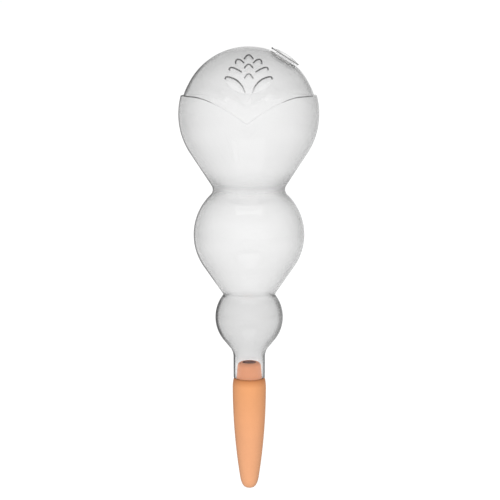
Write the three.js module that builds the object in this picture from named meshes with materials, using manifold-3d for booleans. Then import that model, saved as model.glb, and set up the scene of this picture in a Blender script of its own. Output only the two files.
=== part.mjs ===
// Plant watering globe: a clear reservoir of three bulbs, a push-in filler cap on its shoulder
// and a porous terracotta spike that pushes up into the neck.
// Millimetres, +Z up. The origin is on the axis, where the neck's rim meets the spike's shoulder.
// The petal relief faces -Y and the filler leans towards +X.
import * as THREE from 'three';
import { mergeVertices } from 'three/addons/utils/BufferGeometryUtils.js';
import Module from 'manifold-3d';

// Overall sizes
const totalHeight = 290;
const totalWidth = 90;
const spikeLength = 75;

// Top bulb: a dome standing in a slightly larger cup, with a V edge front and back. The V's lowest point
// lies a little to the left of the middle.
const cupRadius = totalWidth / 2;
const edgeStep = 2;
const domeRadius = cupRadius - edgeStep;
const topBulbZ = totalHeight - spikeLength - domeRadius;
const cupTopAngle = 30;
const vEdgeRise = 12.4;
const vEdgeDrop = 16.3;
const vEdgeReach = 34;
const vEdgeCurve = 1.6;
const vEdgeOffset = 1.3;
const topConeAngle = 33.2;
const topWall = 1.3;

// Middle bulb and the rounded waist above it
const middleBulbRadius = 35.8;
const middleBulbZ = 94.5;
const middleConeAngle = 34.4;
const upperWaistFillet = 5;
const middleWall = 1.5;

// Small bulb, a little longer than a ball, and the tight waist above it
const smallBulbRadius = 22;
const smallBulbArc = 23.6;
const smallBulbZ = 40.3;
const smallConeAngle = 38.5;
const lowerWaistFillet = 2;
const smallWall = 1.8;

// Neck
const neckRadius = 10.3;
const neckFillet = 10;
const neckWall = 1.7;
const neckRimRound = 0.6;

// Clearances
const spigotClearance = 0.35;
const seatGap = 0.25;
const sleeveClearance = 0.3;
const plugClearance = 0.4;
const sealGap = 0.25;

// Filler on the dome's shoulder: a flat seat cut into the dome, the collar in it and the cap on top.
// Distances run out from the dome's centre along the filler's axis.
const fillerTilt = 32.5;
const fillerSeatDepth = 1.3;
const fillerSeatDistance = domeRadius - fillerSeatDepth;
const flangeRadius = 9.9;
const collarFlangeThickness = 0.7;
const sleeveRadius = 8.2;
const sleeveWall = 0.9;
const sleeveDepth = 3.7;
const leadIn = 0.5;
const sleeveEndDistance = fillerSeatDistance - sleeveDepth;
const capFlangeThickness = 0.9;
const capDomeRise = 0.8;
const capDomeRadius = 8.5;
const skirtBoreRadius = 4.7;
const skirtDepth = 3.1;
const skirtEndDistance = fillerSeatDistance - skirtDepth;
const fingerLipWidth = 5;
const fingerLipReach = 0.9;

// Seal ring in a groove round the cap's skirt
const sealSection = 0.55;
const sealDepth = 1.2;
const sealDistance = fillerSeatDistance - sealDepth;

// Terracotta spike
const spikeRadius = 10.95;
const spikeSideArc = 398;
const spikeWidestZ = -6.4;
const shoulderFlatRadius = 9.4;
const shoulderRoundDepth = 5;
const tipFlatRadius = 2.2;
const tipRoundHeight = 8;
const spigotHeight = 10.2;
const spigotTopRadius = 7.7;
const spigotEdgeRound = 2.6;
const boreTopRadius = 4.4;
const boreEndRadius = 3.4;
const boreDepth = 62;

// Smoothness
const bulbTurnSteps = 36;
const smallTurnSteps = 24;

const wasm = await Module();
wasm.setup();

const radians = (degrees) => degrees * Math.PI / 180;
const point = (r, z) => new THREE.Vector2(r, z);

// Points along an arc about a centre, angles in degrees up from the horizontal
function arc(centre, radius, from, to, steps) {
  const points = [];
  for (let i = 0; i <= steps; i += 1) {
    const angle = radians(from + (to - from) * i / steps);
    points.push(point(centre.x + radius * Math.cos(angle), centre.y + radius * Math.sin(angle)));
  }
  return points;
}

// Points along a curve pulled towards one corner
function bend(start, corner, end, steps) {
  return new THREE.QuadraticBezierCurve(start, corner, end).getPoints(steps);
}

// Angle in degrees of the line from one point to another
function bearing(from, to) {
  return THREE.MathUtils.radToDeg(Math.atan2(to.y - from.y, to.x - from.x));
}

// Closed solid from a geometry, with shared corners and no collapsed triangles
function solidFrom(geometry) {
  geometry.deleteAttribute('normal');
  geometry.deleteAttribute('uv');
  const merged = mergeVertices(geometry, 1e-4);
  const index = merged.index.array;
  const triangles = [];
  for (let i = 0; i < index.length; i += 3) {
    const [a, b, c] = [index[i], index[i + 1], index[i + 2]];
    if (a !== b && b !== c && c !== a) {
      triangles.push(a, b, c);
    }
  }
  return new wasm.Manifold(new wasm.Mesh({
    numProp: 3,
    vertProperties: new Float32Array(merged.attributes.position.array),
    triVerts: new Uint32Array(triangles),
  }));
}

// Solid of revolution about Z from an outline of radius and height, listed from the bottom up
function turned(outline, steps) {
  const geometry = new THREE.LatheGeometry(outline, steps);
  geometry.rotateX(Math.PI / 2);
  return solidFrom(geometry);
}

// Circle that rounds the hollow between a bulb's tangent cone and the bulb below it
function waistCircle(upper, coneAngle, lower, fillet) {
  const slope = radians(coneAngle);
  const outward = point(Math.cos(slope), -Math.sin(slope));
  const along = point(-Math.sin(slope), -Math.cos(slope));
  const base = upper.centre.clone().addScaledVector(outward, upper.radius + fillet);
  const offset = base.clone().sub(lower.centre);
  const half = offset.dot(along);
  const reach = lower.radius + fillet;
  const travel = -half - Math.sqrt(half * half - offset.lengthSq() + reach * reach);
  return base.addScaledVector(along, travel);
}

// Outline of the three bulbs and the neck, set in from the outer face by each zone's wall
function bottleOutline(walls, topRadius, lowestZ) {
  const top = { centre: point(0, topBulbZ), radius: topRadius - walls.top };
  const middle = { centre: point(0, middleBulbZ), radius: middleBulbRadius - walls.middle };
  const small = {
    centre: point(smallBulbRadius - smallBulbArc, smallBulbZ),
    radius: smallBulbArc - walls.small,
  };
  const upperFillet = upperWaistFillet + walls.middle;
  const lowerFillet = lowerWaistFillet + walls.small;
  const upperWaist = waistCircle(top, topConeAngle, middle, upperFillet);
  const lowerWaist = waistCircle(middle, middleConeAngle, small, lowerFillet);
  const neck = neckRadius - walls.neck;
  const neckRound = neckFillet + walls.neck;
  const smallSlope = radians(smallConeAngle);
  const neckCentre = point(neck + neckRound, 0);
  const fromSmall = neckCentre.x - small.centre.x;
  const neckDrop = (small.radius + neckRound - fromSmall * Math.cos(smallSlope)) / Math.sin(smallSlope);
  neckCentre.y = small.centre.y - neckDrop;
  const rimRound = walls.neck > 0 ? 0 : neckRimRound;
  return [
    point(0, lowestZ),
    point(neck - rimRound, lowestZ),
    ...(rimRound > 0 ? [point(neck, lowestZ + rimRound)] : []),
    ...arc(neckCentre, neckRound, 180, 180 - smallConeAngle, 4),
    ...arc(small.centre, small.radius, -smallConeAngle, bearing(small.centre, lowerWaist), 8),
    ...arc(lowerWaist, lowerFillet, bearing(lowerWaist, small.centre) + 360, 180 - middleConeAngle, 3).slice(1),
    ...arc(middle.centre, middle.radius, -middleConeAngle, bearing(middle.centre, upperWaist), 10),
    ...arc(upperWaist, upperFillet, bearing(upperWaist, middle.centre) + 360, 180 - topConeAngle, 4).slice(1),
    ...arc(top.centre, top.radius, -topConeAngle, 0, 4),
    ...arc(top.centre, top.radius, 0, cupTopAngle, 3).slice(1),
    point(0, topBulbZ + top.radius * Math.sin(radians(cupTopAngle))),
  ];
}

// Everything above the V edge, running straight through from front to back
function aboveVEdge(drop) {
  const far = totalWidth;
  const steps = 6;
  const edge = new THREE.Shape();
  edge.moveTo(-far, far);
  edge.lineTo(-far, vEdgeRise - drop);
  for (let i = -steps; i <= steps; i += 1) {
    const x = vEdgeReach * i / steps - vEdgeOffset;
    edge.lineTo(x, vEdgeRise - drop - vEdgeDrop * (1 - Math.abs(i) / steps) ** vEdgeCurve);
  }
  edge.lineTo(far, vEdgeRise - drop);
  edge.lineTo(far, far);
  const geometry = new THREE.ExtrudeGeometry(edge, { depth: 2 * far, bevelEnabled: false });
  geometry.rotateX(Math.PI / 2);
  geometry.translate(0, far, topBulbZ);
  return solidFrom(geometry);
}

// One face of the bottle as a filled form: the cup below the V edge, with the dome standing in it
function bottleForm(walls, lowestZ) {
  const cup = turned(bottleOutline(walls, cupRadius, lowestZ), bulbTurnSteps);
  const domeArc = arc(point(0, topBulbZ), domeRadius - walls.top, -24, 90, 14);
  domeArc[14].x = 0;
  const dome = turned([point(0, domeArc[0].y), ...domeArc], bulbTurnSteps);
  return cup.subtract(aboveVEdge(walls.top)).add(dome);
}

// Turns a solid made about Z out to the filler's place on the dome
function toFiller(solid) {
  const matrix = new THREE.Matrix4().makeRotationY(radians(fillerTilt));
  matrix.setPosition(0, 0, topBulbZ);
  return solid.transform(matrix.elements);
}

function reservoir() {
  const none = { top: 0, middle: 0, small: 0, neck: 0 };
  const walls = { top: topWall, middle: middleWall, small: smallWall, neck: neckWall };
  const below = -10;
  const holeRadius = sleeveRadius + sleeveClearance;
  const hole = turned([
    point(0, domeRadius / 2),
    point(holeRadius, domeRadius / 2),
    point(holeRadius, fillerSeatDistance),
    point(domeRadius / 2, fillerSeatDistance),
    point(domeRadius / 2, domeRadius + edgeStep),
    point(0, domeRadius + edgeStep),
  ], smallTurnSteps);
  return bottleForm(none, 0).subtract(bottleForm(walls, below)).subtract(toFiller(hole));
}

function fillerCollar() {
  const under = fillerSeatDistance + seatGap;
  const top = under + collarFlangeThickness;
  const inner = sleeveRadius - sleeveWall;
  return toFiller(turned([
    point(inner, sleeveEndDistance),
    point(sleeveRadius, sleeveEndDistance),
    point(sleeveRadius, under),
    point(flangeRadius, under),
    point(flangeRadius, top),
    point(inner + leadIn, top),
    point(inner, top - leadIn),
    point(inner, sleeveEndDistance),
  ], smallTurnSteps));
}

// Distance of the cap flange's underside from the dome's centre
const capUnder = fillerSeatDistance + collarFlangeThickness + 2 * seatGap;
const skirtRadius = sleeveRadius - sleeveWall - plugClearance;
const sealRadius = sleeveRadius - sleeveWall - sealGap - sealSection;
const grooveRadius = sealRadius - sealSection - sealGap;
const grooveHalf = sealSection + sealGap;

function fillerCap() {
  const top = capUnder + capFlangeThickness;
  const domeTop = top + capDomeRise;
  const body = turned([
    point(0, capUnder),
    point(skirtBoreRadius, capUnder),
    point(skirtBoreRadius, skirtEndDistance),
    point(skirtRadius, skirtEndDistance),
    point(skirtRadius, sealDistance - grooveHalf),
    point(grooveRadius, sealDistance - grooveHalf),
    point(grooveRadius, sealDistance + grooveHalf),
    point(skirtRadius, sealDistance + grooveHalf),
    point(skirtRadius, capUnder),
    point(flangeRadius, capUnder),
    point(flangeRadius, top),
    ...bend(point(capDomeRadius, top), point(capDomeRadius * 0.7, domeTop), point(0, domeTop), 5),
  ], smallTurnSteps);
  const lipLength = flangeRadius + fingerLipReach - skirtRadius - 1;
  const lip = new THREE.BoxGeometry(lipLength, fingerLipWidth, capFlangeThickness);
  lip.translate(-(flangeRadius + fingerLipReach) + lipLength / 2, 0, capUnder + capFlangeThickness / 2);
  return toFiller(body.add(solidFrom(lip)));
}

function capSeal() {
  const ring = arc(point(sealRadius, sealDistance), sealSection, 0, 360, 10);
  ring[10].copy(ring[0]);
  return toFiller(turned(ring, smallTurnSteps));
}

function terracottaSpike() {
  const side = point(spikeRadius - spikeSideArc, spikeWidestZ);
  const tipZ = -spikeLength;
  const sideAngle = (z) => THREE.MathUtils.radToDeg(Math.asin((z - side.y) / spikeSideArc));
  const lowSide = sideAngle(tipZ + tipRoundHeight);
  const flank = arc(side, spikeSideArc, lowSide, sideAngle(spikeWidestZ), 8);
  const spigotBase = neckRadius - neckWall - spigotClearance;
  const tipCorner = point(flank[0].x - 1, tipZ + 0.8);
  const shoulder = point(spikeRadius - 0.45, 0);
  return turned([
    point(0, tipZ),
    ...bend(point(tipFlatRadius, tipZ), tipCorner, flank[0], 5),
    ...flank.slice(1),
    ...bend(point(spikeRadius - 0.05, -shoulderRoundDepth), shoulder, point(shoulderFlatRadius, 0), 4),
    point(spigotBase, 0),
    point(spigotTopRadius, spigotHeight - spigotEdgeRound),
    ...arc(point(spigotTopRadius - spigotEdgeRound, spigotHeight - spigotEdgeRound), spigotEdgeRound, 20, 90, 3),
    point(boreTopRadius, spigotHeight),
    point(boreEndRadius, 2 - boreDepth),
    point(boreEndRadius * 0.6, -boreDepth),
    point(0, -boreDepth),
  ], smallTurnSteps);
}

// Mesh with a name and a finish from a closed solid
function node(name, solid, finish) {
  const mesh = solid.getMesh();
  const positions = new Float32Array(mesh.numVert * 3);
  for (let i = 0; i < mesh.numVert; i += 1) {
    for (let k = 0; k < 3; k += 1) {
      positions[3 * i + k] = mesh.vertProperties[mesh.numProp * i + k];
    }
  }
  const geometry = new THREE.BufferGeometry();
  geometry.setAttribute('position', new THREE.BufferAttribute(positions, 3));
  geometry.setIndex(new THREE.BufferAttribute(new Uint32Array(mesh.triVerts), 1));
  geometry.computeVertexNormals();
  const result = new THREE.Mesh(geometry, finish);
  result.name = name;
  return result;
}

const clearPlastic = new THREE.MeshStandardMaterial({
  name: 'clear_plastic',
  color: 0xe6e9ea,
  roughness: 0.08,
  metalness: 0,
  transparent: true,
  opacity: 0.35,
});
const softSeal = new THREE.MeshStandardMaterial({
  name: 'soft_seal',
  color: 0xe9e7e0,
  roughness: 0.6,
  metalness: 0,
});
const terracotta = new THREE.MeshStandardMaterial({
  name: 'terracotta',
  color: 0xe89a62,
  roughness: 0.9,
  metalness: 0,
});

const group = new THREE.Group();
group.name = 'plant_watering_globe';
group.add(
  node('reservoir', reservoir(), clearPlastic),
  node('filler_collar', fillerCollar(), clearPlastic),
  node('filler_cap', fillerCap(), clearPlastic),
  node('cap_seal', capSeal(), softSeal),
  node('terracotta_spike', terracottaSpike(), terracotta),
);

export default group;
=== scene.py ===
# %% [markdown]
# This lesson dresses a plant watering globe: a clear reservoir of three bulbs that stands on a terracotta
# spike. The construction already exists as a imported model, so we load that first and keep its box.
# Everything made here replaces one of its pieces at the same place and size, in metres.

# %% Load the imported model
import math

import bmesh
import bpy
from mathutils import Matrix, Vector


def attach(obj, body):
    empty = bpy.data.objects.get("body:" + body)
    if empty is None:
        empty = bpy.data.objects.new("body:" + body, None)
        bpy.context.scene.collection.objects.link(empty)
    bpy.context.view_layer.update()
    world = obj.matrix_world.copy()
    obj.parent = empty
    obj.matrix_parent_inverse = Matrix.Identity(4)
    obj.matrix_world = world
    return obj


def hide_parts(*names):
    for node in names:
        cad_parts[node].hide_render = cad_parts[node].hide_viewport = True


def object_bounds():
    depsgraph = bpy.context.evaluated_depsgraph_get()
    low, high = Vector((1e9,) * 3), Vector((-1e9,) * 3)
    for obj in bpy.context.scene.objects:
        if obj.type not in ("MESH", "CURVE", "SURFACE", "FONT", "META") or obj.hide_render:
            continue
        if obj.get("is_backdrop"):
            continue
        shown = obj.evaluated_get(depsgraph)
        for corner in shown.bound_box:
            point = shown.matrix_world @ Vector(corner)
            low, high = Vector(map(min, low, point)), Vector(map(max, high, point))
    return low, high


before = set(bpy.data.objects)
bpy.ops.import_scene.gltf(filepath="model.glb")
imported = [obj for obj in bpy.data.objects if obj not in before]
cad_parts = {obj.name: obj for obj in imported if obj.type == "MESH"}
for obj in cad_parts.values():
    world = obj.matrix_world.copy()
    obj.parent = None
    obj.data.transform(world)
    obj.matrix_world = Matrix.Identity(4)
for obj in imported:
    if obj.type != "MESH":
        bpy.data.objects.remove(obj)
cad_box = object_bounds()
MM = 0.001
print("nodes:", sorted(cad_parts))
print("box in mm:", [[round(value / MM, 1) for value in corner] for corner in cad_box])

# %% [markdown]
# Turned shapes come from an outline: a chain of points that gives the radius at each height. A real drawing
# gives it as arcs and straight runs, so we do the same with three small helpers. All of them work in
# millimetres, and the mesh is scaled to metres once, when it is turned.

# %% Outline helpers
def arc(centre, radius, start, end, steps):
    """Points along an arc, angles in degrees up from the horizontal."""
    points = []
    for i in range(steps + 1):
        angle = math.radians(start + (end - start) * i / steps)
        points.append((centre[0] + radius * math.cos(angle), centre[1] + radius * math.sin(angle)))
    return points


def bend(start, corner, end, steps):
    """Points along a curve that leaves start and reaches end, pulled towards corner."""
    points = []
    for i in range(steps + 1):
        t = i / steps
        weights = ((1 - t) ** 2, 2 * t * (1 - t), t ** 2)
        points.append(tuple(sum(w * p[k] for w, p in zip(weights, (start, corner, end))) for k in (0, 1)))
    return points


def bearing(start, end):
    """Angle in degrees of the line from one point to another."""
    return math.degrees(math.atan2(end[1] - start[1], end[0] - start[0]))


# %% [markdown]
# A lathe needs one operator: spin. We add the outline as a chain of edges and spin it once round the axis.
# use_merge closes the seam, and merging doubles closes the poles, where many points meet on the axis.

# %% Turning helper
def turn(bm, outline, steps):
    """Spins an outline of (radius, height) in mm round Z and returns the new vertices."""
    before = set(bm.verts)
    chain = [bm.verts.new((r * MM, 0, z * MM)) for r, z in outline]
    links = [bm.edges.new(pair) for pair in zip(chain, chain[1:])]
    if outline[0] == outline[-1]:
        bmesh.ops.remove_doubles(bm, verts=[chain[0], chain[-1]], dist=0.001 * MM)
        chain = [v for v in chain if v.is_valid]
        links = [e for e in bm.edges if e.is_valid and e.verts[0] in chain and e.verts[1] in chain]
    bmesh.ops.spin(
        bm, geom=chain + links, cent=(0, 0, 0), axis=(0, 0, 1), dvec=(0, 0, 0),
        angle=2 * math.pi, steps=steps, use_merge=True,
    )
    made = [v for v in bm.verts if v not in before]
    bmesh.ops.remove_doubles(bm, verts=made, dist=0.002 * MM)
    return [v for v in bm.verts if v not in before]


# %% [markdown]
# A finished mesh becomes an object that rides with one body of the imported model and stands in for one of
# its nodes, which is hidden. It gets its own material. Faces that meet at a small angle are shaded as one
# smooth surface, and edges sharper than that stay crisp.

# %% Stand-in helper
SMOOTH_ANGLE = math.radians(40)


def stand_for(name, bm, body, node, material):
    """Makes the finished object, shades it and lets it stand for its CAD node."""
    mesh = bpy.data.meshes.new(name)
    bm.to_mesh(mesh)
    bm.free()
    mesh.materials.append(material)
    mesh.shade_smooth()
    mesh.set_sharp_from_angle(angle=SMOOTH_ANGLE)
    piece = bpy.data.objects.new(name, mesh)
    bpy.context.scene.collection.objects.link(piece)
    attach(piece, body)
    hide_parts(node)
    size = [round(value / MM, 1) for value in piece.dimensions]
    print(name, "faces", len(mesh.polygons), "size in mm", size)
    return piece


# %% [markdown]
# Shader maths reads best as plain expressions. This small class wraps a socket, so that a * b + c adds the
# Math nodes by itself. Its one other method adds any node: settings first, then values or links.

# %% Shader helper
class Wire:
    """A node socket that takes part in Python expressions."""

    def __init__(self, tree, socket):
        self.tree = tree
        self.socket = socket

    def node(self, kind, settings=None, output=0, **sockets):
        made = self.tree.nodes.new(kind)
        for key, value in (settings or {}).items():
            if key == "stops":
                set_stops(made.color_ramp, value)
            else:
                setattr(made, key, value)
        for key, value in sockets.items():
            numbered = key[0] == "i" and key[1:].isdigit()
            target = made.inputs[int(key[1:]) if numbered else key.replace("_", " ")]
            if isinstance(value, Wire):
                self.tree.links.new(value.socket, target)
            else:
                target.default_value = value
        return Wire(self.tree, made.outputs[output])

    def maths(self, operation, first, second):
        return self.node("ShaderNodeMath", {"operation": operation}, i0=first, i1=second)

    def __add__(self, other):
        return self.maths("ADD", self, other)

    def __radd__(self, other):
        return self.maths("ADD", other, self)

    def __sub__(self, other):
        return self.maths("SUBTRACT", self, other)

    def __rsub__(self, other):
        return self.maths("SUBTRACT", other, self)

    def __mul__(self, other):
        return self.maths("MULTIPLY", self, other)

    def __rmul__(self, other):
        return self.maths("MULTIPLY", other, self)


def set_stops(ramp, stops):
    """Gives a colour ramp its stops, as (position, colour) pairs."""
    while len(ramp.elements) > 1:
        ramp.elements.remove(ramp.elements[-1])
    for i, (position, colour) in enumerate(stops):
        stop = ramp.elements[0] if i == 0 else ramp.elements.new(position)
        stop.position = position
        stop.color = colour


def new_finish(name):
    """A material with its Principled shader, and a wire on the object's own coordinates."""
    material = bpy.data.materials.new(name)
    material.use_nodes = True
    tree = material.node_tree
    shader = tree.nodes["Principled BSDF"]
    place = Wire(tree, tree.nodes.new("ShaderNodeTexCoord").outputs["Object"])
    return material, shader, place


def feed(wire, shader, socket):
    wire.tree.links.new(wire.socket, shader.inputs[socket])


# %% [markdown]
# Unglazed terracotta is matt and never one even orange. Slow clouds come from the firing, fine speckle from
# the clay, and open pores sit as small dark pits. The pores drive colour and bump together, so that each
# dark dot is also a hole. The ramp by height paints the spigot paler, as painted light for what the clear
# neck gathers onto it, and a darker ring under the neck's rim, as painted shade where the rim shades the
# shoulder. The bore is painted dark, as painted shade in the hole. A clear tube gathers light onto what
# stands inside it, and a glow on the spigot stands for that. It is set for the view through the neck, so
# the spigot looks too bright once the globe is lifted off.

# %% Terracotta
# Stops from -1.5 mm to -0.1 mm are painted shade under the neck's rim; from 0.1 mm up, painted light on the
# spigot.
CLAY_BY_HEIGHT = [
    (-75, (0.41, 0.197, 0.1, 1)),
    (-40, (0.4, 0.187, 0.091, 1)),
    (-5, (0.385, 0.171, 0.071, 1)),
    (-1.5, (0.3, 0.118, 0.042, 1)),
    (-0.1, (0.225, 0.08, 0.026, 1)),
    (0.1, (0.9, 0.41, 0.21, 1)),
    (11, (0.9, 0.41, 0.21, 1)),
]
CLOUD_SCALE, SPECKLE_SCALE, PORE_SCALE = 60.0, 1400.0, 900.0
PORE_CLAY = (0.33, 0.133, 0.055, 1)
# Inside the bore the clay is painted darker: painted shade in the hole.
BORE_SHADE_RADIUS, SOLID_TIP_Z = 4.6, -60
BORE_SHADE_CLAY = (0.45, 0.15, 0.09, 1)
SHOULDER_MARGIN = 0.05
GATHERED_LIGHT = (0.28, 0.085, 0.03, 1)


def terracotta_clay():
    material, shader, place = new_finish("terracotta")
    low, high = CLAY_BY_HEIGHT[0][0], CLAY_BY_HEIGHT[-1][0]
    height = place.node("ShaderNodeSeparateXYZ", output=2, Vector=place)
    stops = [((z - low) / (high - low), colour) for z, colour in CLAY_BY_HEIGHT]
    share = (height * (1 / MM) - low) * (1 / (high - low))
    # The ramp gives the clay's colour, with painted shade under the rim and painted light on the spigot.
    clay_and_painted_light = place.node("ShaderNodeValToRGB", {"stops": stops}, Fac=share)
    clouds = place.node("ShaderNodeTexNoise", Vector=place, Scale=CLOUD_SCALE, Detail=4.0, Roughness=0.6)
    speckle = place.node("ShaderNodeTexNoise", Vector=place, Scale=SPECKLE_SCALE, Detail=2.0)
    tone = clouds * 0.16 + speckle * 0.08 + 0.88
    shaded = place.node("ShaderNodeVectorMath", {"operation": "SCALE"}, Vector=clay_and_painted_light, Scale=tone)
    cells = place.node("ShaderNodeTexVoronoi", Vector=place, Scale=PORE_SCALE)
    pores = place.node("ShaderNodeMapRange", Value=cells, From_Min=0.03, From_Max=0.14)
    pitted = place.node("ShaderNodeMix", {"data_type": "RGBA"}, output=2, Factor=pores,
                        i6=PORE_CLAY, i7=shaded)
    across = place.node("ShaderNodeVectorMath", {"operation": "MULTIPLY"}, Vector=place, i1=(1, 1, 0))
    radius = place.node("ShaderNodeVectorMath", {"operation": "LENGTH"}, output=1, Vector=across)
    # Outside the bore the clay keeps its colour; inside it gets the painted shade.
    outside_bore = place.maths("GREATER_THAN", radius, BORE_SHADE_RADIUS * MM)
    solid_tip = place.maths("LESS_THAN", height, SOLID_TIP_Z * MM)
    clay_colour = place.node("ShaderNodeMix", {"data_type": "RGBA"}, output=2, i6=BORE_SHADE_CLAY, i7=pitted,
                             Factor=place.maths("MAXIMUM", outside_bore, solid_tip))
    feed(clay_colour, shader, "Base Color")
    in_neck = place.maths("GREATER_THAN", height, SHOULDER_MARGIN * MM) * outside_bore
    gathered = place.node("ShaderNodeMix", {"data_type": "RGBA"}, output=2, Factor=in_neck,
                          i6=(0, 0, 0, 1), i7=GATHERED_LIGHT)
    feed(gathered, shader, "Emission Color")
    shader.inputs["Emission Strength"].default_value = 1.0
    feed(speckle * 0.1 + 0.82, shader, "Roughness")
    grain = pores * 0.6 + speckle * 0.4
    feed(place.node("ShaderNodeBump", Strength=0.25, Distance=0.0002, Height=grain), shader, "Normal")
    return material


clay = terracotta_clay()
print("clay nodes:", len(clay.node_tree.nodes))

# %% [markdown]
# The seal ring is pale silicone: soft, see-through and satin rather than glossy. Dust clings to silicone, so
# its roughness is uneven. A constant alpha keeps it faint, because on the real object it can't be made out.

# %% Silicone
def pale_silicone():
    material, shader, place = new_finish("soft_seal")
    dust = place.node("ShaderNodeTexNoise", Vector=place, Scale=700.0, Detail=3.0)
    colour = place.node("ShaderNodeValToRGB", {"stops": [
        (0.35, (0.86, 0.85, 0.81, 1)),
        (0.65, (0.92, 0.91, 0.88, 1)),
    ]}, Fac=dust)
    feed(colour, shader, "Base Color")
    feed(dust * 0.2 + 0.2, shader, "Roughness")
    shader.inputs["Transmission Weight"].default_value = 0.95
    shader.inputs["IOR"].default_value = 1.12
    shader.inputs["Alpha"].default_value = 0.4
    bump = place.node("ShaderNodeBump", Strength=0.1, Distance=0.0001, Height=dust)
    feed(bump, shader, "Normal")
    return material


silicone = pale_silicone()
print("silicone nodes:", len(silicone.node_tree.nodes))

# %% [markdown]
# The reservoir's sizes, in millimetres and degrees. A dome stands in a slightly larger cup, and the cup's
# edge runs in a V down the front and the back. Below it the bulbs are balls joined by cones, and each waist
# is a round that touches both.

# %% Reservoir sizes
TOP_Z = 172.0
DOME_RADIUS = 43.0
CUP_RADIUS = 45.0
TOP_CONE = 33.2
V_RISE, V_DROP, V_REACH, V_CURVE, V_OFFSET = 12.4, 16.3, 34.0, 1.6, 1.3
MIDDLE_Z, MIDDLE_RADIUS, MIDDLE_CONE = 94.5, 35.8, 34.4
SMALL_Z, SMALL_RADIUS, SMALL_ARC, SMALL_CONE = 40.3, 22.0, 23.6, 38.5
UPPER_WAIST_ROUND, LOWER_WAIST_ROUND = 5.0, 2.0
NECK_RADIUS, NECK_ROUND, NECK_RIM_ROUND = 10.3, 10.0, 0.6
WALLS = {"top": 1.3, "middle": 1.5, "small": 1.8, "neck": 1.7}
NO_WALLS = {"top": 0.0, "middle": 0.0, "small": 0.0, "neck": 0.0}


def edge_height(x):
    """Height of the V edge above the bulb's centre, at a distance x from the middle."""
    return V_RISE - V_DROP * (1 - min(abs(x + V_OFFSET) / V_REACH, 1)) ** V_CURVE


print("V edge at the side and at its tip:", edge_height(V_REACH), edge_height(-V_OFFSET))

# %% [markdown]
# The reservoir is a clear moulded plastic: a true wall with two faces, a shader that transmits all light,
# and a grey volume absorption that takes a little of it for each millimetre. Four things change with height,
# and one colour ramp holds them all. Red is the tone, which is set zone by zone and is clearest low on the
# neck, in front of the spigot. Green is the angle at which the line of sight stays inside the wall, which is
# where real clear plastic shows its dark outline. Blue and alpha are how dark that outline gets on the left
# and on the right, where the room is brighter and washes it out.

# %% Looks by height
RIM_WIDTHS = {"dome": 1.4, "cup": 0.85, "middle": 1.0, "small": 1.8, "neck": 0.6, "rim": 1.1}


def rim_facing(radius, zone):
    """Layer Weight's facing value at the inner side of the dark outline."""
    return 1 - math.sqrt(1 - (1 - RIM_WIDTHS[zone] / radius) ** 2)


LOW_RIM = rim_facing(NECK_RADIUS, "rim")
NECK_RIM = rim_facing(NECK_RADIUS, "neck")
SMALL_RIM = rim_facing(SMALL_RADIUS, "small")
MIDDLE_RIM = rim_facing(MIDDLE_RADIUS, "middle")
CUP_RIM = rim_facing(CUP_RADIUS, "cup")
DOME_RIM = rim_facing(DOME_RADIUS, "dome")
LOOK_BY_HEIGHT = [
    (0, 0.97, LOW_RIM, 0.85, 0.75),
    (9.5, 0.97, LOW_RIM, 0.85, 0.75),
    (11, 0.83, LOW_RIM, 0.85, 0.75),
    (16, 0.82, LOW_RIM, 0.85, 0.7),
    (20, 0.84, NECK_RIM, 0.5, 0.35),
    (32, 0.83, SMALL_RIM, 0.85, 0.65),
    (51, 0.83, SMALL_RIM, 0.85, 0.65),
    (56, 0.89, SMALL_RIM, 0.35, 0.2),
    (60, 0.905, MIDDLE_RIM, 0.35, 0.15),
    (66, 0.905, MIDDLE_RIM, 0.65, 0.3),
    (118, 0.91, MIDDLE_RIM, 0.65, 0.22),
    (135, 0.91, CUP_RIM, 0.65, 0.3),
    (180, 0.91, CUP_RIM, 0.65, 0.3),
    (188, 0.90, DOME_RIM, 0.8, 0.4),
    (201, 0.88, DOME_RIM, 0.75, 0.35),
    (209, 0.87, DOME_RIM, 0.4, 0.25),
    (215, 0.86, DOME_RIM, 0.1, 0.1),
]
print("outline starts at facing", [round(look[2], 2) for look in LOOK_BY_HEIGHT])

# %% [markdown]
# Now the shader itself. Mix Shader lays the dark outline over the clear plastic, and the petals' upper edges
# get painted shade as dark lines too. Three mesh attributes steer it: outside keeps the outline on the outer
# face, one holds the painted shade along the petals' edges, and seat marks the faces that clear adhesive
# fills. A second ramp makes both waists hazy, so that refraction draws no hard ring there. A weak noise in
# the normal gives the slow waviness of a blown wall.

# %% Clear plastic
CLEAR, LOWER_HAZE, UPPER_HAZE = 0.005, 0.16, 0.3
HAZE_BY_HEIGHT = [
    (0, CLEAR),
    (48, CLEAR),
    (57, LOWER_HAZE),
    (66, CLEAR),
    (112, CLEAR),
    (126, UPPER_HAZE),
    (140, CLEAR),
    (215, CLEAR),
]
PLASTIC_IOR = 1.49
PLASTIC_GREY = 0.5
PLASTIC_DENSITY = 20.0
EDGE_TINT = 0.75
RIM_SOFTNESS = 0.09
RIGHT_SHIFT = 0.05
SIDE_BLEND = 5
WASHED_FROM, WASHED_TO, WASHED_SHARE = 0.76, 0.88, 0.35
HAZE_SCALE, FLOW_SCALE = 90.0, 38.0
TRAPPED_DARK = (0.03, 0.03, 0.03, 1)


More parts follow.
